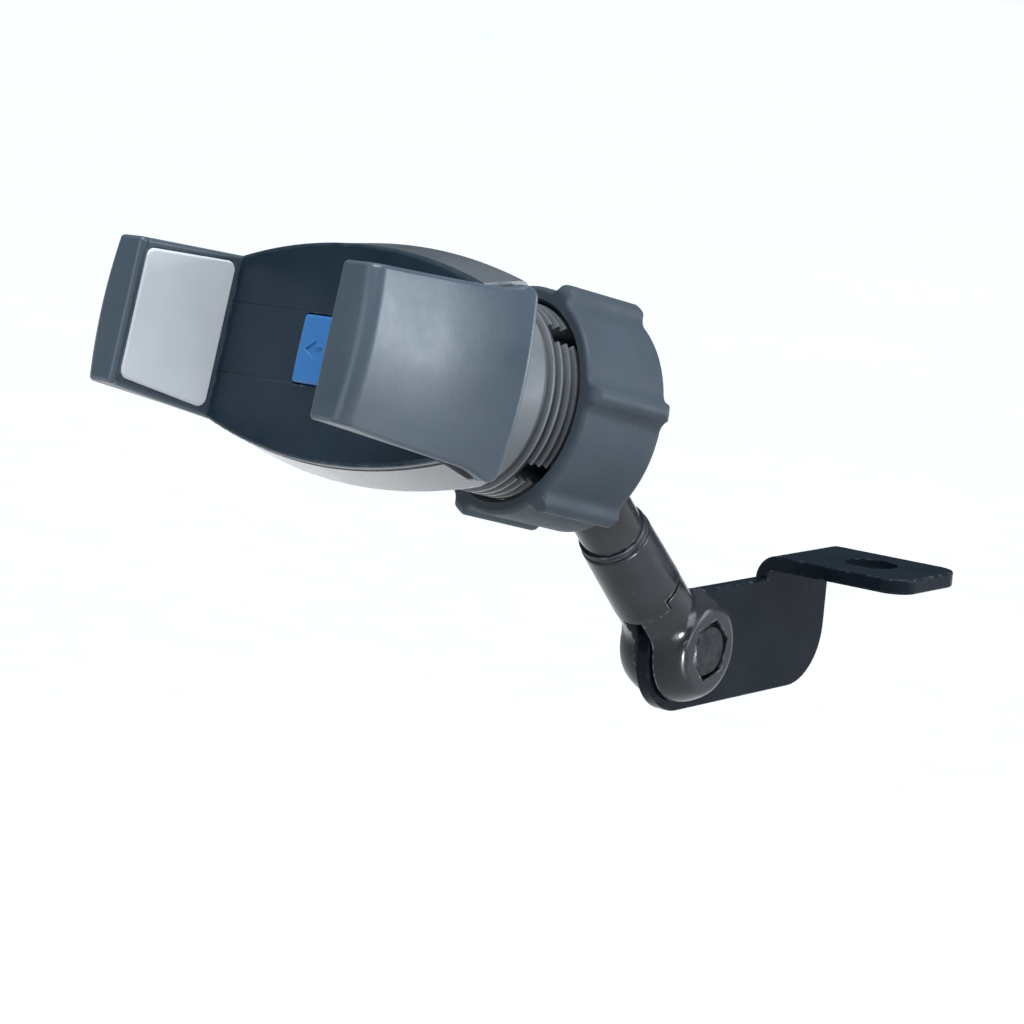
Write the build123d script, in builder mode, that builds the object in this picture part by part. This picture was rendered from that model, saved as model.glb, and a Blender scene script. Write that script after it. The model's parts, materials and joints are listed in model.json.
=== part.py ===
from build123d import *

import os
from math import cos, pi, radians, sin, sqrt, tan

os.makedirs("parts", exist_ok=True)

# A phone cradle for a motorcycle. An angle bracket goes under the mirror's stem, an arm
# tilts on the bracket's end and carries a ball, and the cradle is clamped on that ball.
# Millimetres and degrees. The origin is the centre of the mirror-stem hole, +Z points up
# the stem, +X the way the bracket's tab reaches, +Y from the arm's pivot to the stem.

# ---------------------------------------------------------------- driving dimensions
# bracket
steel_thickness = 3.0
stem_hole_radius = 5.25
strip_height = 23.0
strip_middle_z = -14.8
bend_radius = 2.0
tab_reach = 14.0
tab_corner_radius = 5.0

# pivot and arm
pivot_x, pivot_y, pivot_z = -17.8, -39.8, -13.3
arm_angle = 43.5            # above the horizontal, leaning to -Y
arm_length = 70.4           # pivot to ball centre
knuckle_radius = 11.3
knuckle_flat = 7.7          # from the arm's axis to each outer flat
knuckle_edge_radius = 2.4
neck_blend_radius = 5.0
friction_disc_thickness = 0.6
slot_end = 15.4
sleeve_start, sleeve_end = 15.9, 33.6
sleeve_radius_low, sleeve_radius_high = 7.15, 6.85
sleeve_bore_radius = 4.6
lap_height, lap_side = 2.6, -2.2        # half-lap between the knuckle and the sleeve
lap_side_gap, lap_top_gap = 0.35, 0.7
spigot_radius, spigot_end = 4.55, 23.0
stub_radius, stub_start = 4.55, 23.6
groove_start, groove_width, groove_radius = 27.0, 3.0, 3.6
lock_screw_radius = 1.25
seal_thickness, seal_radius = 1.5, 6.6
neck_radius = 6.05
neck_taper_start, neck_taper_radius = 51.0, 5.2
ball_radius = 12.7

# pivot bolt and nut, M6
bolt_radius = 3.0
hex_across_flats = 10.0
hex_pocket_across_flats = 10.45
hex_turn = 30               # of the bolt, the nut and their pockets about the pivot
bolt_face_radius = 4.45
bolt_head_height = 4.1
pivot_nut_height = 4.6
pocket_floor = 3.5          # from the arm's axis to each pocket's floor

# cradle's direction and its place on the ball
cradle_heading = 16.1
cradle_pitch = 12.4
cradle_roll = 3.4
ball_depth = 46.1           # ball centre behind the cradle's front face

# cradle housing
base_half_length = 33.7
base_end_half, base_middle_half = 15.0, 19.2
back_end_half, back_middle_half = 17.5, 21.3
base_depth = 11.0
cover_thickness = 1.8
cover_edge = 0.2            # the cover's edge stands this far inside the shell's outline
shell_wall = 1.8
floor_thickness = 2.4

# jaws
jaw_travel = 14.0
jaw_foot_across = 34.0
jaw_foot_depth = 10.3
jaw_lip_inner, jaw_lip_outer = 30.2, 40.2
jaw_waist, jaw_waist_height = 37.6, 7.0
jaw_heel = 40.0
jaw_crown_radius = 65.0     # the jaw's back bows outwards over its width
jaw_lip_radius, jaw_tip_radius, jaw_edge_radius = 2.6, 1.8, 0.8
jaw_height = 23.6
jaw_lip_half, jaw_root_half, jaw_flare_half = 12.9, 14.7, 17.6
pad_low_half, pad_high_half = 13.3, 11.4
pad_low, pad_high = 0.8, 21.8
pad_thickness, pad_recess = 1.3, 1.0
pad_corner_radius, pad_gap = 1.8, 0.15

# rack and pinion
gear_module = 1.0
pinion_teeth = 12
rack_low, rack_high = -8.3, -5.6
rack_reach = 18.0           # past the pinion's centre
rack_back = 9.6
guide_low, guide_high = 9.9, 12.6
guide_reach = 10.0
ratchet_low, ratchet_high = -5.45, -4.15
ratchet_radius = 6.0
ratchet_teeth = 18
pinion_post_radius = 2.0
running_gap = 0.05

# release button and pawl
button_length, button_width = 20.6, 11.9
button_gap = 0.3
button_top = 0.5
button_flange_low, button_flange_high = -2.8, -1.95
button_travel = 1.0
pawl_pivot_across = -12.0
pawl_pin_radius = 1.2

# collet, ball seat and ring nut
collet_radius = 17.2
thread_root_radius, thread_crest_radius = 16.6, 17.5
thread_start, thread_end = -33.0, -47.2
thread_pitch = 1.8
collet_end = -51.3
seat_radius = 14.6
seat_front, seat_back = -31.5, -48.3
nut_front, nut_back = -39.0, -57.3
nut_radius = 20.6
nut_bore_radius = 17.85
nut_ribs = 6
nut_phase = 8.5
rib_radius, rib_tip_round, rib_foot_round = 22.9, 1.9, 2.3
rib_end_radius, rib_end_length = 21.0, 2.4
nut_front_round, nut_back_round = 0.9, 1.2

# ---------------------------------------------------------------- frames
pivot = Vector(pivot_x, pivot_y, pivot_z)
arm_dir = Vector(0, -cos(radians(arm_angle)), sin(radians(arm_angle)))
ball_centre = pivot + arm_dir * arm_length
arm_axis = Axis(pivot, arm_dir)
# arm_side: x across the arm in the tilting plane, y along the arm, z along the pivot
arm_rise = Vector(0, sin(radians(arm_angle)), cos(radians(arm_angle)))
arm_side = Plane(origin=pivot, x_dir=arm_rise, z_dir=(1, 0, 0))
# arm_end: x up across the arm, z along it
arm_end = Plane(origin=pivot, x_dir=arm_rise, z_dir=arm_dir)
# bolt_side: x out from the pivot bolt, y along it
bolt_side = Plane(origin=pivot, x_dir=(0, 1, 0), z_dir=(0, 0, -1))
pivot_axis = Axis(pivot, (1, 0, 0))

level = Vector(cos(radians(cradle_heading)), -sin(radians(cradle_heading)), 0)
facing = Vector(
    -sin(radians(cradle_heading)) * cos(radians(cradle_pitch)),
    -cos(radians(cradle_heading)) * cos(radians(cradle_pitch)),
    sin(radians(cradle_pitch)),
)
across = level.rotate(Axis((0, 0, 0), facing), cradle_roll)
front = ball_centre + facing * ball_depth
# cradle: x across the jaws, y up their width, z out of the front face
cradle = Plane(origin=front, x_dir=across, z_dir=facing)
# cradle_side: x across the jaws, y out of the front face
cradle_side = Plane(origin=front, x_dir=across, z_dir=-cradle.y_dir)
cradle_axis = Axis(front, facing)


def barrel(half_length, end_half, middle_half):
    """Outline of the housing: straight ends and two bowed long sides."""
    with BuildSketch() as outline:
        with BuildLine():
            upper = ThreePointArc((-half_length, end_half), (0, middle_half), (half_length, end_half))
            right = Line(upper @ 1, (half_length, -end_half))
            lower = ThreePointArc(right @ 1, (0, -middle_half), (-half_length, -end_half))
            Line(lower @ 1, upper @ 0)
        make_face()
    return outline.sketch


def jaw_planes(side):
    """Planes of one jaw: seen from the front, in section, and seen along its travel."""
    outward = cradle.x_dir * side
    top = Plane(origin=front, x_dir=outward, z_dir=facing)
    section = Plane(origin=front, x_dir=outward, z_dir=-top.y_dir)
    end = Plane(origin=front, x_dir=top.y_dir, z_dir=outward)
    return top, section, end


def sharp_edges(builder, least_turn=30):
    """Edges where two faces of the piece meet at more than the given angle."""
    faces_of = {}
    for face in builder.faces():
        for edge in face.edges():
            faces_of.setdefault(edge, []).append(face)
    sharp = ShapeList()
    for edge, faces in faces_of.items():
        if len(faces) == 2:
            middle = edge @ 0.5
            if faces[0].normal_at(middle).get_angle(faces[1].normal_at(middle)) > least_turn:
                sharp.append(edge)
    return sharp


def finish(builder, name):
    """Label a finished piece and write its STEP file."""
    builder.part.label = name
    export_step(builder.part, f"parts/{name}.step")


# ---------------------------------------------------------------- mirror bracket
plate_left = pivot_x - steel_thickness / 2
plate_right = pivot_x + steel_thickness / 2
tab_half = strip_height / 2
tab_top, tab_bottom = steel_thickness / 2, -steel_thickness / 2

edge_round = 0.4

with BuildPart() as fold:
    with BuildSketch(Plane(origin=(0, tab_half, 0), x_dir=(1, 0, 0), z_dir=(0, -1, 0))) as bend:
        with BuildLine():
            Polyline(
                (plate_left, strip_middle_z),
                (plate_left, tab_top),
                (tab_reach, tab_top),
                (tab_reach, tab_bottom),
                (plate_right, tab_bottom),
                (plate_right, strip_middle_z),
                close=True,
            )
        make_face()
        left_corners = bend.vertices().group_by(Axis.X)[0]
        right_corners = bend.vertices().group_by(Axis.X)[1]
        fillet(left_corners.sort_by(Axis.Y)[-1], bend_radius + steel_thickness)
        fillet(right_corners.sort_by(Axis.Y)[-1], bend_radius)
    extrude(amount=strip_height)
    fillet(fold.edges().filter_by(Axis.Z).group_by(Axis.X)[-1], tab_corner_radius)
    fillet(sharp_edges(fold), edge_round)

with BuildPart() as mirror_bracket:
    with BuildSketch(Plane(origin=(plate_left, 0, 0), x_dir=(0, 1, 0), z_dir=(1, 0, 0))):
        with Locations((pivot_y / 2, strip_middle_z)):
            SlotCenterToCenter(-pivot_y, strip_height)
    extrude(amount=steel_thickness)
    strip_rims = mirror_bracket.edges().group_by(Axis.X)
    fillet(strip_rims[0] + strip_rims[-1], edge_round)
    add(fold.part)
    with BuildSketch(Plane.XY.offset(tab_bottom)):
        Circle(stem_hole_radius)
    extrude(amount=steel_thickness, mode=Mode.SUBTRACT)
    with BuildSketch(Plane(origin=(plate_left, pivot_y, pivot_z), x_dir=(0, 1, 0), z_dir=(1, 0, 0))):
        Circle(bolt_radius + 2 * running_gap)
    extrude(amount=steel_thickness, mode=Mode.SUBTRACT)
finish(mirror_bracket, "mirror_bracket")

# ---------------------------------------------------------------- friction discs, one each side
pivot_plane = Plane(origin=pivot, x_dir=(0, 1, 0), z_dir=(1, 0, 0))
slot_half = steel_thickness / 2 + friction_disc_thickness

with BuildPart() as friction_discs:
    for start in (steel_thickness / 2, -slot_half):
        with BuildSketch(pivot_plane.offset(start)):
            Circle(8.5)
            Circle(bolt_radius + 2 * running_gap, mode=Mode.SUBTRACT)
        extrude(amount=friction_disc_thickness)
finish(friction_discs, "friction_discs")

# ---------------------------------------------------------------- knuckle with its two cheeks
neck_round_radius = sleeve_radius_low - 0.1
# the neck's blend touches the ball at blend_foot and the neck at blend_height
blend_centre = neck_round_radius + neck_blend_radius
blend_height = sqrt((knuckle_radius + neck_blend_radius) ** 2 - blend_centre**2)
ball_share = knuckle_radius / (knuckle_radius + neck_blend_radius)
blend_foot = (blend_centre * ball_share, blend_height * ball_share)

with BuildPart() as blended_neck:
    with BuildSketch(arm_side):
        with BuildLine():
            blend = RadiusArc(blend_foot, (neck_round_radius, blend_height), neck_blend_radius)
            neck_wall = Line(blend @ 1, (neck_round_radius, sleeve_start))
            Polyline(neck_wall @ 1, (0, sleeve_start), (0, blend_foot[1]), blend @ 0)
        make_face()
    revolve(axis=arm_axis)
    with BuildSketch(arm_side.offset(-knuckle_flat)):
        with Locations((0, sleeve_start / 2)):
            Rectangle(4 * knuckle_radius, 2 * sleeve_start)
    extrude(amount=2 * knuckle_flat, mode=Mode.INTERSECT)

with BuildPart() as knuckle:
    # a ball with two flats, rounded where they meet
    with BuildSketch(bolt_side) as bulb:
        Circle(knuckle_radius)
        Rectangle(2 * knuckle_radius, 2 * knuckle_flat, mode=Mode.INTERSECT)
        fillet(bulb.vertices(), knuckle_edge_radius)
        with Locations((knuckle_radius, 0)):
            Rectangle(2 * knuckle_radius, 2 * knuckle_radius, mode=Mode.INTERSECT)
    revolve(axis=pivot_axis)
    add(blended_neck.part)
    with BuildSketch(arm_end):
        Circle(spigot_radius)
    extrude(amount=spigot_end)
    # half-collar that the sleeve's lower end is cut away for
    with BuildSketch(arm_end):
        Circle(neck_round_radius)
        with Locations((lap_side + knuckle_radius, 0)):
            Rectangle(2 * knuckle_radius, 2 * knuckle_radius, mode=Mode.INTERSECT)
    extrude(amount=sleeve_start + lap_height - lap_top_gap)
    with BuildSketch(arm_side.offset(-slot_half)):
        with Locations((0, slot_end / 2 - knuckle_radius)):
            Rectangle(4 * knuckle_radius, slot_end + 2 * knuckle_radius)
    extrude(amount=2 * slot_half, mode=Mode.SUBTRACT)
    for side in (-1, 1):
        with BuildSketch(arm_side.offset(side * pocket_floor)):
            RegularPolygon(hex_pocket_across_flats / 2, 6, major_radius=False, rotation=hex_turn)
        extrude(amount=side * knuckle_radius, mode=Mode.SUBTRACT)
    with BuildSketch(arm_side.offset(-knuckle_radius)):
        Circle(bolt_radius + 0.1)
    extrude(amount=2 * knuckle_radius, mode=Mode.SUBTRACT)
finish(knuckle, "knuckle")

# ---------------------------------------------------------------- pivot bolt and lock nut, M6
bolt_tip = -knuckle_flat - 0.6
hex_corner = hex_across_flats / 2 / cos(pi / 6) + 0.2
head_end = pocket_floor + bolt_head_height

with BuildPart() as pivot_bolt:
    with BuildSketch(arm_side.offset(pocket_floor)):
        RegularPolygon(hex_across_flats / 2, 6, major_radius=False, rotation=hex_turn)
    extrude(amount=bolt_head_height)
    with BuildSketch(bolt_side):
        with BuildLine():
            Polyline(
                (bolt_face_radius, head_end),
                (hex_corner, head_end),
                (hex_corner, head_end - (hex_corner - bolt_face_radius) * tan(radians(30))),
                close=True,
            )
        make_face()
    revolve(axis=pivot_axis, mode=Mode.SUBTRACT)
    with BuildSketch(arm_side.offset(bolt_tip)):
        Circle(bolt_radius)
    extrude(amount=pocket_floor - bolt_tip)
    chamfer(pivot_bolt.faces().sort_by(Axis.X)[0].edges(), 0.5)
finish(pivot_bolt, "pivot_bolt")

with BuildPart() as pivot_nut:
    with BuildSketch(arm_side.offset(-pocket_floor)):
        RegularPolygon(hex_across_flats / 2, 6, major_radius=False, rotation=hex_turn)
    extrude(amount=-pivot_nut_height + 1.4)
    with BuildSketch(arm_side.offset(-pocket_floor)):
        Circle(hex_across_flats / 2 - 0.6)
    extrude(amount=-pivot_nut_height)
    fillet(pivot_nut.faces().sort_by(Axis.X)[0].edges(), 0.5)
    with BuildSketch(arm_side.offset(-pocket_floor)):
        Circle(bolt_radius)
    extrude(amount=-pivot_nut_height, mode=Mode.SUBTRACT)
finish(pivot_nut, "pivot_nut")

# ---------------------------------------------------------------- arm sleeve
lock_screw_at = groove_start + groove_width / 2
# lock_plane: square to the arm, its normal pointing out of the sleeve on the far side
lock_plane = Plane(origin=pivot + arm_dir * lock_screw_at, x_dir=arm_dir, z_dir=(-1, 0, 0))

with BuildPart() as arm_sleeve:
    with BuildSketch(arm_side):
        with BuildLine():
            Polyline(
                (sleeve_bore_radius, sleeve_start),
                (sleeve_radius_low, sleeve_start),
                (sleeve_radius_high, sleeve_end),
                (sleeve_bore_radius, sleeve_end),
                close=True,
            )
        make_face()
    revolve(axis=arm_axis)
    fillet(arm_sleeve.edges().filter_by(GeomType.CIRCLE).group_by(SortBy.RADIUS)[1], 0.7)
    with BuildSketch(arm_end.offset(sleeve_start)):
        with Locations((lap_side - lap_side_gap + knuckle_radius, 0)):
            Rectangle(2 * knuckle_radius, 2 * knuckle_radius)
    extrude(amount=lap_height, mode=Mode.SUBTRACT)
    with BuildSketch(lock_plane):
        Circle(lock_screw_radius)
    extrude(amount=2 * sleeve_radius_low, mode=Mode.SUBTRACT)
finish(arm_sleeve, "arm_sleeve")

with BuildPart() as stem_lock_screw:
    with BuildSketch(lock_plane.offset(groove_radius + 0.2)):
        Circle(lock_screw_radius)
    extrude(amount=sleeve_radius_high - groove_radius - 0.5)
    chamfer(stem_lock_screw.edges(), 0.2)
    with BuildSketch(lock_plane.offset(sleeve_radius_high - 1.3)):
        RegularPolygon(0.65, 6, major_radius=False)
    extrude(amount=2, mode=Mode.SUBTRACT)
finish(stem_lock_screw, "stem_lock_screw")

# ---------------------------------------------------------------- seal ring under the neck's shoulder
with BuildPart() as sleeve_seal_ring:
    with BuildSketch(arm_end.offset(sleeve_end)):
        Circle(seal_radius)
        Circle(stub_radius + 0.1, mode=Mode.SUBTRACT)
    extrude(amount=seal_thickness)
    fillet(sleeve_seal_ring.edges().group_by(SortBy.LENGTH)[-1], 0.35)
finish(sleeve_seal_ring, "sleeve_seal_ring")

# ---------------------------------------------------------------- ball with its neck and stub
neck_start = sleeve_end + seal_thickness
with BuildPart() as ball_stem:
    with BuildSketch(arm_side):
        with BuildLine():
            Polyline(
                (0, stub_start),
                (stub_radius - 0.5, stub_start),
                (stub_radius, stub_start + 0.5),
                (stub_radius, groove_start),
                (groove_radius, groove_start),
                (groove_radius, groove_start + groove_width),
                (stub_radius, groove_start + groove_width),
                (stub_radius, neck_start),
                (neck_radius, neck_start),
                (neck_radius, neck_taper_start),
                (neck_taper_radius, arm_length - ball_radius + 1.5),
                (neck_taper_radius, arm_length),
                (0, arm_length),
                close=True,
            )
        make_face()
    revolve(axis=arm_axis)
    with Locations(ball_centre):
        Sphere(ball_radius)
finish(ball_stem, "ball_stem")

# ---------------------------------------------------------------- seat between the ball and the collet
with BuildPart() as ball_seat:
    with BuildSketch(cradle.offset(seat_back)):
        Circle(seat_radius)
    extrude(amount=seat_front - seat_back)
    chamfer(ball_seat.faces().sort_by(cradle_axis)[-1].edges(), 0.8)
    with Locations(ball_centre):
        Sphere(ball_radius + running_gap, mode=Mode.SUBTRACT)
finish(ball_seat, "ball_seat")

# ---------------------------------------------------------------- split collet with its thread
collet_foot = -base_depth
collet_floor = collet_foot - 4.0
seat_step = seat_front + 0.1
lip_start = seat_back - 0.1
collet_bore = seat_radius + running_gap
taper_radius = 15.3
finger_slot = 4.0
collet_screw_circle = 12.0

with BuildPart() as socket_collet:
    with BuildSketch(cradle_side):
        with BuildLine():
            Polyline(
                (0, collet_foot),
                (collet_radius, collet_foot),
                (collet_radius, thread_start + 0.9),
                (thread_root_radius, thread_start + 0.3),
                (thread_root_radius, thread_end),
                (taper_radius, collet_end),
                (10.0, collet_end),
                (10.0, lip_start),
                (collet_bore, lip_start),
                (collet_bore, seat_step),
                (13.0, seat_step),
                (13.0, collet_floor),
                (0, collet_floor),
                close=True,
            )
        make_face()
    revolve(axis=cradle_axis)
    for turn in range(int((thread_start - thread_end) / thread_pitch)):
        crest = thread_start - thread_pitch * (turn + 0.5)
        with BuildSketch(cradle_side):
            with BuildLine():
                Polyline(
                    (thread_root_radius - 0.2, crest + 0.75),
                    (thread_root_radius, crest + 0.7),
                    (thread_crest_radius, crest + 0.2),
                    (thread_crest_radius, crest - 0.2),
                    (thread_root_radius, crest - 0.7),
                    (thread_root_radius - 0.2, crest - 0.75),
                    close=True,
                )
            make_face()
        revolve(axis=cradle_axis)
    with Locations(ball_centre):
        Sphere(ball_radius + 2 * running_gap, mode=Mode.SUBTRACT)
    with BuildSketch(cradle.offset(collet_end)):
        Rectangle(4 * collet_radius, finger_slot, rotation=45)
        Rectangle(4 * collet_radius, finger_slot, rotation=-45)
    extrude(amount=thread_start - 2.2 - collet_end, mode=Mode.SUBTRACT)
    with BuildSketch(cradle.offset(collet_floor)):
        with PolarLocations(collet_screw_circle, 4, start_angle=45):
            Circle(1.1)
    extrude(amount=4.0, mode=Mode.SUBTRACT)
finish(socket_collet, "socket_collet")

# ---------------------------------------------------------------- ring nut with six ribs
with BuildPart() as ring_nut:
    with BuildSketch(cradle.offset(nut_back)) as drum:
        Circle(nut_radius)
        with PolarLocations(rib_radius - rib_tip_round, nut_ribs, start_angle=nut_phase):
            Circle(rib_tip_round)
        fillet(drum.vertices(), rib_foot_round)
    extrude(amount=nut_front - nut_back)
    fillet(ring_nut.faces().sort_by(cradle_axis)[0].edges(), nut_back_round)
    fillet(ring_nut.faces().sort_by(cradle_axis)[-1].edges(), nut_front_round)
    # the ribs' front and back ends slope down to the drum
    with BuildSketch(cradle_side):
        with BuildLine():
            front_slope = RadiusArc(
                (rib_end_radius, nut_front),
                (rib_radius + 0.1, nut_front - rib_end_length),
                rib_end_length,
            )
            back_slope = RadiusArc(
                (rib_radius + 0.1, nut_back + rib_end_length),
                (rib_end_radius, nut_back),
                rib_end_length,
            )
            Line(front_slope @ 1, back_slope @ 0)
            Polyline(back_slope @ 1, (0, nut_back), (0, nut_front), front_slope @ 0)
        make_face()
    revolve(axis=cradle_axis, mode=Mode.INTERSECT)
    with BuildSketch(cradle_side):
        with BuildLine():
            Polyline(
                (0, nut_front + 1),
                (nut_bore_radius + 0.6, nut_front + 1),
                (nut_bore_radius + 0.6, nut_front),
                (nut_bore_radius, nut_front - 0.6),
                (nut_bore_radius, thread_end - 0.2),
                (thread_root_radius + 0.4, thread_end - 0.2),
                (taper_radius + 0.4, collet_end),
                (taper_radius + 0.4, collet_end - 1.0),
                (17.3, nut_back),
                (17.3, nut_back - 1),
                (0, nut_back - 1),
                close=True,
            )
        make_face()
    revolve(axis=cradle_axis, mode=Mode.SUBTRACT)
finish(ring_nut, "ring_nut")

# ---------------------------------------------------------------- rear shell
shell_front = -cover_thickness
floor_top = floor_thickness - base_depth
arm_gap = 0.3
arm_level = (rack_low + rack_high) / 2
rack_window_low = 5.0
window_height = rack_high - rack_low + 2 * arm_gap
housing_screw_spots = ((-28.0, 12.3), (28.0, -12.3), (-24.0, 0), (24.0, 0))
housing_screw_radius = 1.05
boss_radius = 2.3
screw_head_radius, screw_head_height = 2.3, 1.3
spring_rib_at = -20.0
pawl_pivot = (pawl_pivot_across, 0)

with BuildPart() as rear_shell:
    with BuildSketch(cradle.offset(-base_depth)):
        add(barrel(base_half_length, back_end_half, back_middle_half))
    with BuildSketch(cradle.offset(shell_front)):
        add(barrel(base_half_length, base_end_half, base_middle_half))
    loft()
    fillet(rear_shell.faces().sort_by(cradle_axis)[0].edges().filter_by(GeomType.CIRCLE), 1.2)
    with BuildSketch(cradle.offset(floor_top)):
        add(barrel(base_half_length - shell_wall, back_end_half - 2.6, back_middle_half - 2.9))
    extrude(amount=base_depth, mode=Mode.SUBTRACT)
    # windows in the two ends for the jaws' racks and guides
    for side in (-1, 1):
        end_plane = jaw_planes(side)[2]
        with BuildSketch(end_plane.offset(base_half_length - 2 * shell_wall)):
            with Locations((-(rack_back + rack_window_low) / 2, arm_level)):
                Rectangle(rack_back - rack_window_low + 2 * arm_gap, window_height)
            with Locations(((guide_low + guide_high) / 2, arm_level)):
                Rectangle(guide_high - guide_low + 2 * arm_gap, window_height)
        extrude(amount=4 * shell_wall, mode=Mode.SUBTRACT)
    # posts for the pinion and the pawl, bosses for the screws, ribs for the jaw springs
    with BuildSketch(cradle.offset(floor_top - 0.5)):
        Circle(pinion_post_radius)
        with Locations(pawl_pivot):
            Circle(pawl_pin_radius)
    extrude(amount=ratchet_high + 0.1 - floor_top + 0.5)
    with BuildSketch(cradle.offset(floor_top - 0.5)):
        with Locations(pawl_pivot):
            Circle(2.4)
    extrude(amount=ratchet_low - 0.05 - floor_top + 0.5)
    with BuildSketch(cradle.offset(floor_top - 0.5)):
        with Locations(*housing_screw_spots):
            Circle(boss_radius)
    extrude(amount=1.7)
    for side in (-1, 1):
        with BuildSketch(jaw_planes(side)[0].offset(floor_top - 0.5)):
            with Locations((spring_rib_at - 0.75, (guide_low + guide_high) / 2 + 0.8)):
                Rectangle(1.5, guide_high - guide_low + 1.6)
        extrude(amount=4.5)
    # screw holes: four for the cover, four for the collet
    with BuildSketch(cradle.offset(-base_depth)):
        with Locations(*housing_screw_spots):
            Circle(housing_screw_radius + 0.3)
    extrude(amount=floor_thickness + 2, mode=Mode.SUBTRACT)
    with BuildSketch(cradle.offset(-base_depth)):
        with Locations(*housing_screw_spots):
            Circle(screw_head_radius + 0.2)
    extrude(amount=screw_head_height + 0.2, mode=Mode.SUBTRACT)
    with BuildSketch(cradle.offset(-base_depth)):
        with PolarLocations(collet_screw_circle, 4, start_angle=45):
            Circle(1.25)
    extrude(amount=floor_thickness, mode=Mode.SUBTRACT)
    with BuildSketch(cradle.offset(floor_top)):
        with PolarLocations(collet_screw_circle, 4, start_angle=45):
            Circle(2.3)
    extrude(amount=-1.2, mode=Mode.SUBTRACT)
finish(rear_shell, "rear_shell")

# ---------------------------------------------------------------- cover over the mechanism
window_length = button_length + 2 * button_gap
window_width = button_width + 2 * button_gap
with BuildPart() as front_cover:
    with BuildSketch(cradle.offset(shell_front)):
        add(barrel(base_half_length, base_end_half - cover_edge, base_middle_half - cover_edge))
    extrude(amount=cover_thickness)
    fillet(front_cover.faces().sort_by(cradle_axis)[-1].edges().filter_by(GeomType.CIRCLE), 0.7)
    with BuildSketch(cradle.offset(ratchet_low - 1.0)):
        with Locations(*housing_screw_spots):
            Circle(boss_radius)
    extrude(amount=shell_front - ratchet_low + 1.0)
    with BuildSketch(cradle.offset(ratchet_low - 1.0)):
        with Locations(*housing_screw_spots):
            Circle(housing_screw_radius + running_gap)
    extrude(amount=5.0, mode=Mode.SUBTRACT)
    with BuildSketch(cradle.offset(shell_front)):
        RectangleRounded(window_length, window_width, 1.0)
    extrude(amount=cover_thickness, mode=Mode.SUBTRACT)
finish(front_cover, "front_cover")

# ---------------------------------------------------------------- jaws with racks and guides
tooth_pitch = pi * gear_module
pinion_pitch_radius = gear_module * pinion_teeth / 2
tooth_tip, tooth_root = 0.8 * gear_module, 1.2 * gear_module
backlash = 0.28
flank_angle = 20
tooth_base = tooth_pitch / 2 - backlash + 2 * tooth_root * tan(radians(flank_angle))
tooth_height = tooth_tip + tooth_root
rack_teeth = 6
rack_face = pinion_pitch_radius + tooth_root
arm_foot = jaw_foot_across + 1.5
crown_centre = jaw_lip_outer - jaw_crown_radius

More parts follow.
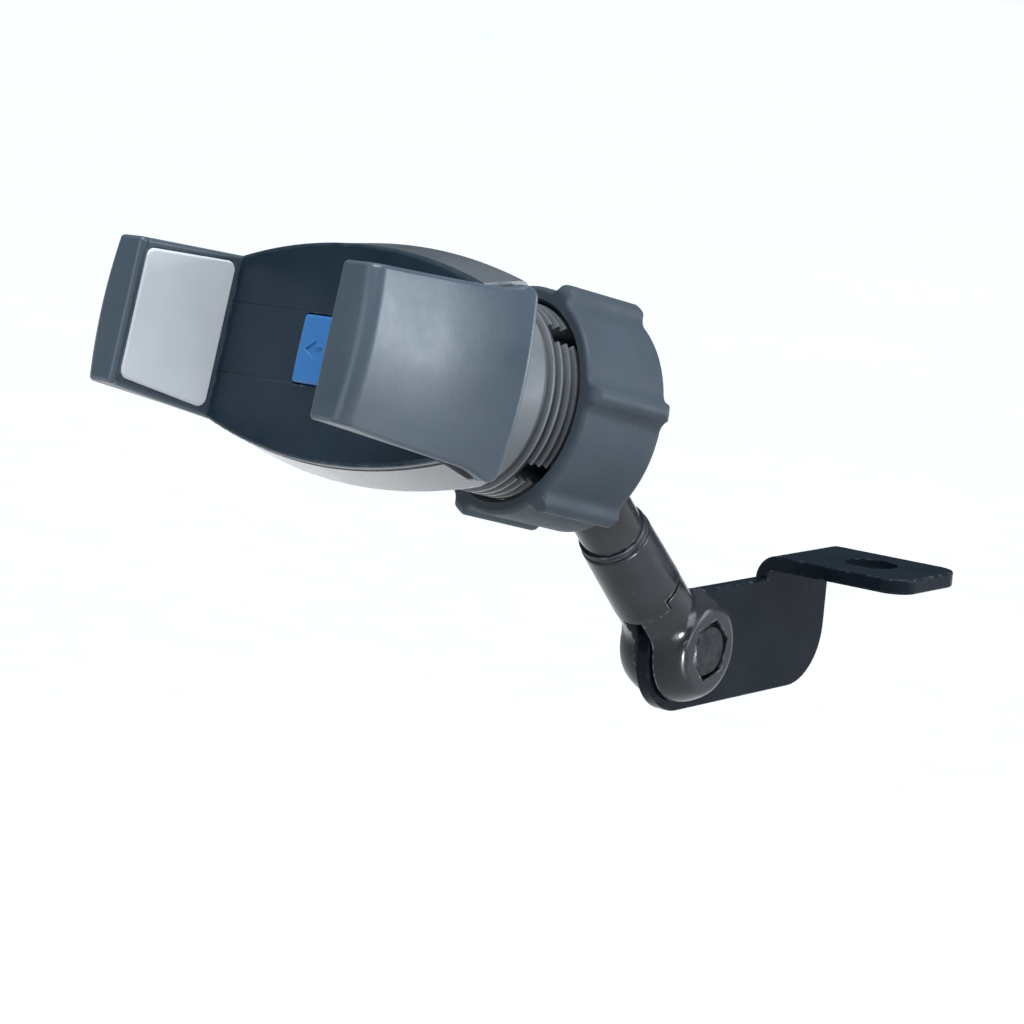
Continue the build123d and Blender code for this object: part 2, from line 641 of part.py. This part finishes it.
jaw_names = {-1: "left", 1: "right"}
for side in (-1, 1):
    top_plane, section_plane, end_plane = jaw_planes(side)
    with BuildPart() as jaw:
        with BuildSketch(section_plane):
            with BuildLine():
                foot = Line((jaw_foot_across, -jaw_foot_depth), (jaw_foot_across, 0))
                wall = Line(foot @ 1, (jaw_lip_inner + 0.2, jaw_height - 1.8))
                bead_nose = (jaw_lip_inner - 0.5, jaw_height - 0.9)
                bead = ThreePointArc(wall @ 1, bead_nose, (jaw_lip_inner + 0.4, jaw_height))
                lip = Line(bead @ 1, (jaw_lip_outer + 1.0, jaw_height))
                outside = Line(lip @ 1, (jaw_lip_outer + 1.0, -jaw_foot_depth))
                Line(outside @ 1, foot @ 0)
            make_face()
        extrude(amount=2 * jaw_flare_half, both=True)
        with BuildSketch(section_plane) as section:
            with BuildLine():
                ridge = Line((crown_centre, jaw_height), (jaw_lip_outer, jaw_height))
                waist = (jaw_waist, jaw_waist_height)
                back = ThreePointArc(ridge @ 1, waist, (jaw_heel, -jaw_foot_depth))
                Polyline(back @ 1, (crown_centre, -jaw_foot_depth), ridge @ 0)
            make_face()
            fillet(section.vertices().sort_by(Axis((0, 0, 0), (1, 2, 0)))[-1], jaw_lip_radius)
        crown_axis = Axis(front + top_plane.x_dir * crown_centre, facing)
        revolve(axis=crown_axis, mode=Mode.INTERSECT)
        with BuildSketch(end_plane) as outline:
            with BuildLine():
                flare_start = (jaw_root_half + 0.1, -2.5)
                slope = Line((jaw_lip_half - 0.1, jaw_height + 1.0), flare_start)
                flare = TangentArc(flare_start, (jaw_flare_half, -jaw_foot_depth), tangent=slope % 1)
                Line(flare @ 1, (0, -jaw_foot_depth))
                Line((0, jaw_height + 1.0), slope @ 0)
                mirror(about=Plane.YZ)
            make_face()
            tips = outline.vertices().group_by(Axis.Y)[0]
            fillet(tips.filter_by(lambda corner: corner.X != 0), jaw_tip_radius)
        extrude(amount=2 * jaw_lip_outer, mode=Mode.INTERSECT)
        fillet(sharp_edges(jaw), jaw_edge_radius)
        # seat for the pad in the leaning inner wall
        wall_dir = (wall @ 1 - wall @ 0).normalized()
        wall_up = top_plane.x_dir * wall_dir.X + facing * wall_dir.Y
        wall_out = facing * wall_dir.X - top_plane.x_dir * wall_dir.Y
        wall_foot = front + top_plane.x_dir * jaw_foot_across
        pad_plane = Plane(origin=wall_foot, x_dir=wall_up, z_dir=wall_out)
        with BuildSketch(pad_plane) as seat:
            with BuildLine():
                Polyline(
                    (pad_low - pad_gap, -pad_low_half - pad_gap),
                    (pad_high + pad_gap, -pad_high_half - pad_gap),
                    (pad_high + pad_gap, pad_high_half + pad_gap),
                    (pad_low - pad_gap, pad_low_half + pad_gap),
                    close=True,
                )
            make_face()
            fillet(seat.vertices(), pad_corner_radius + pad_gap)
        extrude(amount=-pad_recess, mode=Mode.SUBTRACT)
        # rack and guide, reaching in under the cover
        with BuildSketch(top_plane.offset(rack_low)):
            with Locations(((arm_foot - rack_reach) / 2, -(rack_back + rack_face) / 2)):
                Rectangle(arm_foot + rack_reach, rack_back - rack_face)
            with Locations(((arm_foot + guide_reach) / 2, (guide_low + guide_high) / 2)):
                Rectangle(arm_foot - guide_reach, guide_high - guide_low)
            for tooth in range(-rack_teeth, 2):
                with Locations(((-tooth - 0.5) * tooth_pitch, -rack_face)):
                    Trapezoid(tooth_base, tooth_height, 90 - flank_angle, align=(Align.CENTER, Align.MIN))
        extrude(amount=rack_high - rack_low)
    finish(jaw, jaw_names[side] + "_jaw")

    with BuildPart() as pad:
        with BuildSketch(pad_plane.offset(-pad_recess)) as pad_outline:
            with BuildLine():
                Polyline(
                    (pad_low, -pad_low_half),
                    (pad_high, -pad_high_half),
                    (pad_high, pad_high_half),
                    (pad_low, pad_low_half),
                    close=True,
                )
            make_face()
            fillet(pad_outline.vertices(), pad_corner_radius)
        extrude(amount=pad_thickness)
        fillet(pad.faces().sort_by(Axis(wall_foot, wall_out))[-1].edges(), 0.5)
    finish(pad, jaw_names[side] + "_pad")

# ---------------------------------------------------------------- pinion with its ratchet wheel
with BuildPart() as pinion_gear:
    with BuildSketch(cradle.offset(rack_low)):
        Circle(pinion_pitch_radius - tooth_root)
        with PolarLocations(pinion_pitch_radius - tooth_root - 0.2, pinion_teeth):
            Trapezoid(
                tooth_base,
                tooth_height + 0.2,
                90 - flank_angle,
                rotation=-90,
                align=(Align.CENTER, Align.MIN),
            )
    extrude(amount=rack_high - rack_low)
    with BuildSketch(cradle.offset(rack_high)) as ratchet:
        Circle(ratchet_radius - 0.9)
        with PolarLocations(ratchet_radius - 1.5, ratchet_teeth):
            Triangle(a=1.5, b=1.5, C=90, rotation=0, align=(Align.MIN, Align.MIN))
    extrude(amount=ratchet_high - rack_high)
    with BuildSketch(cradle.offset(rack_low)):
        Circle(pinion_post_radius + running_gap)
    extrude(amount=ratchet_high - rack_low, mode=Mode.SUBTRACT)
finish(pinion_gear, "pinion_gear")

# ---------------------------------------------------------------- release button
button_corner = 0.7
button_wall = 1.2
button_roof = 1.5
leg_reach, leg_low = 14.6, -5.3
tail_length, tail_radius = 3.5, 0.8
wedge_slope = 0.73          # the pawl's tail moves this far for each millimetre of press
wedge_gap = 0.15
wedge_root = button_flange_low + 0.3

with BuildPart() as release_button:
    with BuildSketch(cradle.offset(button_flange_low)):
        RectangleRounded(button_length, button_width, button_corner)
    extrude(amount=button_top - button_flange_low)
    fillet(release_button.faces().sort_by(cradle_axis)[-1].edges(), 0.5)
    with BuildSketch(cradle.offset(button_flange_low)):
        Rectangle(button_length + 2 * button_wall, button_width + 2 * button_wall)
        with Locations((-leg_reach / 2 - 2.0, -tail_length)):
            Rectangle(leg_reach - 4.0, 3.0)
    extrude(amount=button_flange_high - button_flange_low)
    with BuildSketch(cradle.offset(button_flange_low)):
        Rectangle(button_length - 2 * button_wall, button_width - 2 * button_wall)
    extrude(amount=button_top - button_roof - button_flange_low, mode=Mode.SUBTRACT)
    # wedge that swings the pawl aside
    wedge_foot = pawl_pivot_across - tail_radius - wedge_gap
    with BuildSketch(cradle_side.offset(tail_length)):
        with BuildLine():
            Polyline(
                (-leg_reach, wedge_root),
                (-leg_reach, leg_low),
                (wedge_foot + wedge_slope * (leg_low - ratchet_high), leg_low),
                (wedge_foot + wedge_slope * (wedge_root - ratchet_high), wedge_root),
                close=True,
            )
        make_face()
    extrude(amount=1.0, both=True)
    # two arrow marks pointing at the jaws
    with BuildSketch(cradle.offset(button_top)):
        for turn in (0, 180):
            with Locations(Location((0, 0, 0), (0, 0, turn))):
                with Locations((4.6, 0)):
                    Rectangle(3.2, 1.1)
                with Locations((6.2, 0)):
                    RegularPolygon(1.9, 3)
    extrude(amount=-0.3, mode=Mode.SUBTRACT)
finish(release_button, "release_button")

# ---------------------------------------------------------------- latch pawl
with BuildPart() as latch_pawl:
    with BuildSketch(cradle.offset(ratchet_low)):
        with Locations(pawl_pivot):
            Circle(2.2)
        with BuildLine():
            Polyline((-12.4, 1.9), (-6.8, 4.7), (-5.46, 3.15), (-10.4, -0.8), (-12.0, 0), close=True)
        make_face()
        with Locations((pawl_pivot_across, -tail_length / 2)):
            Rectangle(2 * tail_radius, tail_length)
        with Locations((pawl_pivot_across, -tail_length)):
            Circle(tail_radius)
        with Locations(pawl_pivot):
            Circle(pawl_pin_radius + running_gap, mode=Mode.SUBTRACT)
    extrude(amount=ratchet_high - ratchet_low)
finish(latch_pawl, "latch_pawl")

# ---------------------------------------------------------------- springs
with BuildPart() as button_spring:
    with BuildLine() as coil:
        Helix(
            pitch=0.5,
            height=1.5,
            radius=1.6,
            center=cradle.from_local_coords((0, 0, ratchet_high + 0.35)),
            direction=facing,
        )
    with BuildSketch(Plane(origin=coil.line @ 0, z_dir=coil.line % 0)):
        Circle(0.2)
    sweep(is_frenet=True)
finish(button_spring, "button_spring")

spring_across = (guide_low + guide_high) / 2
spring_length = guide_reach - spring_rib_at - 1.0
spring_turns = 12
with BuildPart() as jaw_springs:
    for side in (-1, 1):
        spring_foot = (spring_rib_at + 0.5, spring_across, arm_level)
        coil_start = jaw_planes(side)[0].from_local_coords(spring_foot)
        with BuildLine() as coil:
            Helix(
                pitch=spring_length / spring_turns,
                height=spring_length,
                radius=0.95,
                center=coil_start,
                direction=across * side,
            )
        with BuildSketch(Plane(origin=coil.line @ 0, z_dir=coil.line % 0)):
            Circle(0.2)
        sweep(is_frenet=True)
finish(jaw_springs, "jaw_springs")

# ---------------------------------------------------------------- screws
with BuildPart() as housing_screws:
    for spot in housing_screw_spots:
        with BuildSketch(cradle.offset(0.2 - base_depth)):
            with Locations(spot):
                Circle(screw_head_radius)
        extrude(amount=screw_head_height)
        with BuildSketch(cradle.offset(0.2 - base_depth)):
            with Locations(spot):
                Circle(housing_screw_radius)
        extrude(amount=base_depth - 2.6)
        with BuildSketch(cradle.offset(0.2 - base_depth)):
            with Locations(spot):
                Rectangle(2.6, 0.6)
                Rectangle(0.6, 2.6)
        extrude(amount=0.8, mode=Mode.SUBTRACT)
finish(housing_screws, "housing_screws")

with BuildPart() as collet_screws:
    with BuildSketch(cradle.offset(floor_top - 1.1)):
        with PolarLocations(collet_screw_circle, 4, start_angle=45):
            Circle(2.15)
    extrude(amount=1.0)
    with BuildSketch(cradle.offset(floor_top - 1.1)):
        with PolarLocations(collet_screw_circle, 4, start_angle=45):
            Circle(1.05)
    extrude(amount=-5.0)
    with BuildSketch(cradle.offset(floor_top - 0.1)):
        with PolarLocations(collet_screw_circle, 4, start_angle=45):
            Rectangle(2.4, 0.5)
            Rectangle(0.5, 2.4)
    extrude(amount=-0.6, mode=Mode.SUBTRACT)
finish(collet_screws, "collet_screws")
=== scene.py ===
import json

import bpy
from mathutils import Matrix, Vector


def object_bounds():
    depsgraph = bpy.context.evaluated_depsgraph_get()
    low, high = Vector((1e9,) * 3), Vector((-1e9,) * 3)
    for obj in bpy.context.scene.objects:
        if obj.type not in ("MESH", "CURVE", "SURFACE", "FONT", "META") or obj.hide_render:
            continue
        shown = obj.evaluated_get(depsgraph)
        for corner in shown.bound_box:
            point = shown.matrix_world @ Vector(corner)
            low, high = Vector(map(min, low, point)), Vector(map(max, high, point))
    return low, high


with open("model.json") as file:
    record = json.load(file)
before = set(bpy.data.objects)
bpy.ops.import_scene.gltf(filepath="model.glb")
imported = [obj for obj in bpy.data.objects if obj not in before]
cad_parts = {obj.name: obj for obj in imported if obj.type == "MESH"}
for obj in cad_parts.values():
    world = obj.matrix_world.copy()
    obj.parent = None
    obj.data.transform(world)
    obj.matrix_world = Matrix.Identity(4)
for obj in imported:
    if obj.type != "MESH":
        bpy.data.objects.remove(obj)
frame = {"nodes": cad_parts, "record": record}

# The phone cradle's looks: materials for every piece, small moulded details, a studio and
# the camera. Metres, in the CAD model's frame.

cad_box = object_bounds()
nodes = frame["nodes"]


# ---------------------------------------------------------------- camera
camera_right = Vector((0.7982, 0.5964, 0.0845))
camera_up = Vector((-0.1645, 0.0808, 0.9831))
camera_back = Vector((0.5794, -0.7986, 0.1626))
object_middle = Vector((-0.03, -0.11, 0.03))

# the middle of the cradle's front face, and its directions across and up
cradle_front = (-0.030286, -0.134125, 0.045059)
cradle_across = (0.96262, -0.26459, 0.05792)
cradle_up = (0.00246, 0.2224, 0.97495)

# the cover's mould lines: how far above and below the middle, and past the button's window
line_height = 0.0063
line_half_width = 0.00025
window_half = 0.0109

floor_drop = 0.15           # the floor below the object at rest
floor_half = 40.0


def place_camera():
    data = bpy.data.cameras.new("camera")
    data.lens = 122.2
    data.sensor_width = 36
    data.clip_start = 0.05
    camera = bpy.data.objects.new("camera", data)
    turn = Matrix((camera_right, camera_up, camera_back)).transposed().to_4x4()
    camera.matrix_world = Matrix.Translation((0.3375, -0.5864, 0.1165)) @ turn
    bpy.context.scene.collection.objects.link(camera)
    bpy.context.scene.camera = camera


# ---------------------------------------------------------------- materials
class Graph:
    """A material's node tree, with short calls for the nodes used here."""

    def __init__(self, name):
        self.material = bpy.data.materials.new(name)
        self.material.use_nodes = True
        self.tree = self.material.node_tree
        self.shader = self.tree.nodes["Principled BSDF"]
        self.place = self.tree.nodes.new("ShaderNodeTexCoord").outputs["Object"]

    def link(self, source, target):
        self.tree.links.new(source, target)

    def noise(self, scale, detail=3.0, rough=0.5):
        node = self.tree.nodes.new("ShaderNodeTexNoise")
        node.inputs["Scale"].default_value = scale
        node.inputs["Detail"].default_value = detail
        node.inputs["Roughness"].default_value = rough
        self.link(self.place, node.inputs["Vector"])
        return node.outputs["Fac"]

    def cells(self, scale, feature="F1"):
        node = self.tree.nodes.new("ShaderNodeTexVoronoi")
        node.feature = feature
        node.inputs["Scale"].default_value = scale
        self.link(self.place, node.inputs["Vector"])
        return node.outputs["Distance"]

    def spread(self, value, low, high, out_low, out_high):
        node = self.tree.nodes.new("ShaderNodeMapRange")
        node.inputs["From Min"].default_value = low
        node.inputs["From Max"].default_value = high
        node.inputs["To Min"].default_value = out_low
        node.inputs["To Max"].default_value = out_high
        self.link(value, node.inputs["Value"])
        return node.outputs["Result"]

    def mix(self, factor, first, second):
        node = self.tree.nodes.new("ShaderNodeMix")
        node.data_type = "RGBA"
        self.link(factor, node.inputs["Factor"])
        for socket, value in (("A", first), ("B", second)):
            target = next(s for s in node.inputs if s.name == socket and s.type == "RGBA")
            if isinstance(value, tuple):
                target.default_value = (*value, 1.0)
            else:
                self.link(value, target)
        return next(s for s in node.outputs if s.type == "RGBA")

    def math(self, operation, *values):
        node = self.tree.nodes.new("ShaderNodeMath")
        node.operation = operation
        for target, value in zip(node.inputs, values):
            if isinstance(value, (int, float)):
                target.default_value = value
            else:
                self.link(value, target)
        return node.outputs["Value"]

    def vector(self, operation, source, constant):
        node = self.tree.nodes.new("ShaderNodeVectorMath")
        node.operation = operation
        self.link(source, node.inputs[0])
        node.inputs[1].default_value = constant
        return node.outputs["Value" if operation == "DOT_PRODUCT" else "Vector"]

    def edges(self, radius, low, high):
        """1 near a piece's outer edges, 0 on its faces."""
        bevel = self.tree.nodes.new("ShaderNodeBevel")
        bevel.samples = 4
        bevel.inputs["Radius"].default_value = radius
        plain = self.tree.nodes.new("ShaderNodeNewGeometry").outputs["Normal"]
        dot = self.tree.nodes.new("ShaderNodeVectorMath")
        dot.operation = "DOT_PRODUCT"
        self.link(bevel.outputs["Normal"], dot.inputs[0])
        self.link(plain, dot.inputs[1])
        return self.spread(dot.outputs["Value"], high, low, 0.0, 1.0)

    def shade_in_grooves(self, reach):
        """0 deep in a groove, 1 on open faces: the mask for painted shade in grooves."""
        node = self.tree.nodes.new("ShaderNodeAmbientOcclusion")
        node.samples = 8
        node.inputs["Distance"].default_value = reach
        return self.spread(node.outputs["AO"], 0.45, 0.95, 0.0, 1.0)

    def bump(self, height, distance, strength=1.0, under=None):
        node = self.tree.nodes.new("ShaderNodeBump")
        node.inputs["Strength"].default_value = strength
        node.inputs["Distance"].default_value = distance
        self.link(height, node.inputs["Height"])
        if under is not None:
            self.link(under, node.inputs["Normal"])
        return node.outputs["Normal"]

    def finish(self, colour, rough, normal, **constants):
        self.link(colour, self.shader.inputs["Base Color"])
        self.link(rough, self.shader.inputs["Roughness"])
        self.link(normal, self.shader.inputs["Normal"])
        for name, value in constants.items():
            self.shader.inputs[name.replace("_", " ")].default_value = value
        return self.material


def moulded(
    name, dark, light, grain, rough,
    wear_and_glint_colour=(0.14, 0.16, 0.18), gloss=0.5, wear_and_glint=0.5, lines=None, groove_shade=1.0,
):
    """The name and material of moulded plastic: grain, cloudy colour, worn edges (on the cover a painted
    edge highlight), painted shade in grooves, uneven sheen.

    grain is (size, depth) in metres, rough the lowest and highest roughness, wear_and_glint_colour
    the colour of the edges and wear_and_glint how far they turn to it (rubbed wear, and on the cover a
    painted edge highlight), lines a function that adds fine lines to the surface, and groove_shade how
    much of the dark colour is left in grooves, where shade is painted in.
    """
    grain_size, grain_depth = grain
    g = Graph(name)
    fine = g.noise(1.0 / grain_size, 2.0, 0.6)
    pits = g.cells(0.7 / grain_size)
    base = g.mix(g.spread(g.noise(60.0, 4.0), 0.35, 0.65, 0.0, 1.0), dark, light)
    patches = g.spread(g.noise(420.0, 4.0), 0.42, 0.7, 0.0, wear_and_glint)
    # lighter edges: rubbed wear, and on the cover a painted edge highlight
    wear_and_glint_edges = g.math("MULTIPLY", g.edges(0.0006, 0.93, 0.995), patches)
    colour = g.mix(wear_and_glint_edges, base, wear_and_glint_colour)
    # painted shade: grooves darkened by ambient occlusion towards a dimmed copy of the dark colour
    if groove_shade < 1.0:
        colour = g.mix(g.shade_in_grooves(0.0016), tuple(groove_shade * level for level in dark), colour)
    sheen = g.spread(g.noise(190.0, 3.0), 0.3, 0.7, *rough)
    normal = g.bump(pits, grain_depth * 0.7, 0.5, g.bump(fine, grain_depth))
    if lines is not None:
        normal = g.bump(lines(g), 0.00015, 1.0, normal)
    return name, g.finish(colour, sheen, normal, Specular_IOR_Level=gloss)


def cover_lines(g):
    """Two fine mould lines, from the button's window towards the left jaw."""
    shift = g.vector("SUBTRACT", g.place, cradle_front)
    above = g.math("ABSOLUTE", g.vector("DOT_PRODUCT", shift, cradle_up))
    from_line = g.math("ABSOLUTE", g.math("SUBTRACT", above, line_height))
    line = g.spread(from_line, 0.0, line_half_width, 0.0, 1.0)
    along = g.vector("DOT_PRODUCT", shift, cradle_across)
    past_window = g.spread(along, -window_half - 2 * line_half_width, -window_half, 0.0, 1.0)
    return g.math("MAXIMUM", line, past_window)


def coated(name, dark, light, peel, rough, gloss):
    """The same for paint or powder coat on metal: orange peel, dust specks, thinner edges.

    peel is the size of the orange peel in metres, rough the lowest and highest roughness.
    """
    g = Graph(name)
    ripple = g.noise(1.0 / peel, 1.5)
    base = g.mix(g.spread(g.noise(90.0, 3.0), 0.35, 0.65, 0.0, 1.0), dark, light)
    bare = g.spread(g.noise(600.0, 4.0), 0.48, 0.72, 0.0, 0.5)
    thin = g.math("MULTIPLY", g.edges(0.0005, 0.93, 0.995), bare)
    specks = g.spread(g.cells(700.0), 0.05, 0.02, 0.0, 0.35)
    colour = g.mix(specks, g.mix(thin, base, (0.2, 0.2, 0.2)), (0.35, 0.37, 0.4))
    sheen = g.spread(g.noise(260.0, 4.0), 0.3, 0.7, *rough)
    normal = g.bump(g.noise(5200.0, 2.0), 0.000004, 0.5, g.bump(ripple, 0.00003, 0.5))
    return name, g.finish(colour, sheen, normal, Specular_IOR_Level=gloss)


def steel(name, dark, light, rough):
    """The same for bare or blackened steel with fine turning marks."""
    g = Graph(name)
    base = g.mix(g.spread(g.noise(300.0, 4.0), 0.35, 0.65, 0.0, 1.0), dark, light)
    sheen = g.spread(g.noise(900.0, 3.0), 0.3, 0.7, *rough)
    return name, g.finish(base, sheen, g.bump(g.noise(4000.0, 2.0), 0.00001, 0.6), Metallic=1.0)


# grain of the moulded plastics: size and depth in metres
fine_grain = (0.0004, 0.000014)
medium_grain = (0.00045, 0.00003)
coarse_grain = (0.0004, 0.00005)
smooth_grain = (0.0003, 0.000008)


def make_materials():
    """One material for each of the record's slots, and the cover's, shell's and nut's own."""
    return dict((
        moulded("satin_plastic", (0.038, 0.053, 0.069), (0.046, 0.064, 0.082), fine_grain, (0.32, 0.42)),
        # the cover's teal edges, turned almost fully on, are a painted edge highlight
        moulded(
            "cover_plastic", (0.008, 0.016, 0.025), (0.011, 0.020, 0.031), fine_grain, (0.28, 0.40),
            wear_and_glint_colour=(0.10, 0.17, 0.20), gloss=0.15, wear_and_glint=0.95, lines=cover_lines,
        ),
        # painted shade: grooves such as the collet's thread darkened to 0.3 of the dark colour
        moulded(
            "grained_plastic", (0.088, 0.096, 0.106), (0.110, 0.119, 0.130), coarse_grain, (0.42, 0.58),
            groove_shade=0.3,
        ),
        moulded(
            "shell_plastic", (0.058, 0.062, 0.068), (0.070, 0.074, 0.080), fine_grain, (0.26, 0.36),
            gloss=0.6, wear_and_glint=0.2,
        ),
        moulded(
            "nut_plastic", (0.034, 0.044, 0.056), (0.042, 0.055, 0.069), medium_grain, (0.52, 0.64),
            gloss=0.25,
        ),
        moulded(
            "ring_metal", (0.003, 0.004, 0.006), (0.004, 0.005, 0.008), smooth_grain, (0.35, 0.45),
            gloss=0.15,
        ),
        moulded(
            "black_nylon", (0.008, 0.009, 0.010), (0.011, 0.012, 0.013), fine_grain, (0.38, 0.5),
            gloss=0.3,
        ),
        moulded(
            "nylon", (0.56, 0.56, 0.53), (0.66, 0.66, 0.63), fine_grain, (0.38, 0.5),
            wear_and_glint_colour=(0.7, 0.7, 0.68),
        ),
        moulded(
            "pad_rubber", (0.51, 0.53, 0.55), (0.56, 0.58, 0.60), smooth_grain, (0.34, 0.46),
            wear_and_glint_colour=(0.5, 0.54, 0.58),
        ),
        moulded(
            "button_plastic", (0.014, 0.105, 0.29), (0.018, 0.12, 0.33), smooth_grain, (0.32, 0.42),
            wear_and_glint_colour=(0.1, 0.26, 0.5),
        ),
        coated("powder_coat", (0.004, 0.007, 0.011), (0.007, 0.010, 0.015), 0.0011, (0.12, 0.2), 0.06),
        coated("cast_black", (0.006, 0.006, 0.007), (0.009, 0.009, 0.011), 0.0005, (0.15, 0.24), 0.2),
        coated("anodised_black", (0.008, 0.008, 0.008), (0.011, 0.011, 0.012), 0.0016, (0.10, 0.17), 0.18),
        steel("screw_steel", (0.016, 0.018, 0.021), (0.035, 0.038, 0.042), (0.2, 0.3)),
        steel("spring_steel", (0.5, 0.5, 0.5), (0.62, 0.62, 0.62), (0.22, 0.34)),
    ))


def dress_nodes(look):
    slots = {entry["node"]: entry["material_slot"] for entry in frame["record"]["subparts"]}
    slots["front_cover"] = "cover_plastic"
    slots["ring_nut"] = "nut_plastic"
    slots["rear_shell"] = "shell_plastic"
    for name, piece in nodes.items():
        for slot in piece.material_slots:
            slot.material = look[slots[name]]


# ---------------------------------------------------------------- studio
def lamp(name, pieces, across, up, back, size, watts, colour=(1.0, 1.0, 1.0)):
    """A soft box placed from the object's middle, that lights only the given pieces."""
    data = bpy.data.lights.new(name, "AREA")
    data.shape = "RECTANGLE"
    data.size, data.size_y = size
    data.energy = watts
    data.color = colour
    light = bpy.data.objects.new(name, data)
    offset = camera_right * across + camera_up * up + camera_back * back
    turn = (-offset).to_track_quat("-Z", "Y").to_matrix().to_4x4()
    light.matrix_world = Matrix.Translation(object_middle + offset) @ turn
    bpy.context.scene.collection.objects.link(light)
    light.light_linking.receiver_collection = pieces
    light.light_linking.blocker_collection = pieces


def make_floor():
    """A pale floor, far enough down for the arm to swing to its lowest point above it."""
    floor_z = cad_box[0][2] - floor_drop
    around = ((-1, -1), (1, -1), (1, 1), (-1, 1))
    corners = [(x * floor_half, y * floor_half, floor_z) for x, y in around]
    mesh = bpy.data.meshes.new("floor")
    mesh.from_pydata(corners, [], [(0, 1, 2, 3)])
    floor = bpy.data.objects.new("floor", mesh)
    bpy.context.scene.collection.objects.link(floor)
    g = Graph("floor_paper")
    pale = g.mix(g.spread(g.noise(3.0), 0.3, 0.7, 0.0, 1.0), (0.90, 0.89, 0.875), (0.93, 0.92, 0.905))
    rough = g.spread(g.noise(40.0), 0.3, 0.7, 0.6, 0.7)
    mesh.materials.append(g.finish(pale, rough, g.bump(g.noise(900.0), 0.0002, 0.2)))


def make_sky():
    """A studio that is bright overhead and dark at the object's height, with a pale backdrop."""
    world = bpy.data.worlds.new("studio")
    world.use_nodes = True
    tree = world.node_tree
    place = tree.nodes.new("ShaderNodeTexCoord").outputs["Generated"]
    split = tree.nodes.new("ShaderNodeSeparateXYZ")
    tree.links.new(place, split.inputs["Vector"])
    ramp = tree.nodes.new("ShaderNodeValToRGB")
    tree.links.new(split.outputs["Z"], ramp.inputs["Fac"])
    stops = (
        (0.0, (0.02, 0.035, 0.05)),
        (0.2, (0.06, 0.09, 0.12)),
        (0.55, (0.45, 0.55, 0.65)),
        (1.0, (0.85, 0.95, 1.05)),
    )
    for place_up, colour in stops[1:-1]:
        ramp.color_ramp.elements.new(place_up)
    for element, (place_up, colour) in zip(ramp.color_ramp.elements, stops):
        element.position = place_up
        element.color = (*colour, 1.0)
    light = tree.nodes["Background"]
    tree.links.new(ramp.outputs["Color"], light.inputs["Color"])
    light.inputs["Strength"].default_value = 0.8
    backdrop = tree.nodes.new("ShaderNodeBackground")
    backdrop.inputs["Color"].default_value = (0.95, 0.97, 1.0, 1.0)
    seen = tree.nodes.new("ShaderNodeLightPath").outputs["Is Camera Ray"]
    both = tree.nodes.new("ShaderNodeMixShader")
    tree.links.new(seen, both.inputs["Fac"])
    tree.links.new(light.outputs["Background"], both.inputs[1])
    tree.links.new(backdrop.outputs["Background"], both.inputs[2])
    tree.links.new(both.outputs["Shader"], tree.nodes["World Output"].inputs["Surface"])
    bpy.context.scene.world = world


def make_studio():
    make_floor()
    make_sky()
    sun = bpy.data.lights.new("overhead", "SUN")
    sun.energy = 2.4
    sun.angle = 0.7
    light = bpy.data.objects.new("overhead", sun)
    light.matrix_world = Vector((0.25, -0.2, 1.0)).to_track_quat("Z", "Y").to_matrix().to_4x4()
    bpy.context.scene.collection.objects.link(light)
    pieces = bpy.data.collections.new("object_pieces")
    arm_pieces = bpy.data.collections.new("arm_pieces")
    housing_pieces = bpy.data.collections.new("housing_pieces")
    for name, piece in nodes.items():
        pieces.objects.link(piece)
        if name in ("knuckle", "pivot_bolt", "arm_sleeve", "sleeve_seal_ring", "ball_stem"):
            arm_pieces.objects.link(piece)
        if name in ("rear_shell", "front_cover", "socket_collet"):
            housing_pieces.objects.link(piece)
    lamp("top", pieces, 0.1, 0.75, 0.7, (0.5, 0.4), 7.0, (0.88, 0.95, 1.0))
    lamp("side", pieces, 1.0, 0.0, 0.06, (0.7, 0.45), 9.5, (0.84, 0.92, 1.0))
    lamp("fill", pieces, -0.8, 0.2, 0.75, (0.6, 0.5), 3.0, (0.84, 0.93, 1.0))
    lamp("rim", housing_pieces, -0.2, -0.4, -0.8, (0.8, 0.4), 11.0)
    lamp("arm", arm_pieces, 0.33, -0.29, 0.27, (0.12, 0.2), 9.0, (0.9, 0.96, 1.0))


bpy.context.scene.view_settings.view_transform = "Standard"
place_camera()
dress_nodes(make_materials())
make_studio()
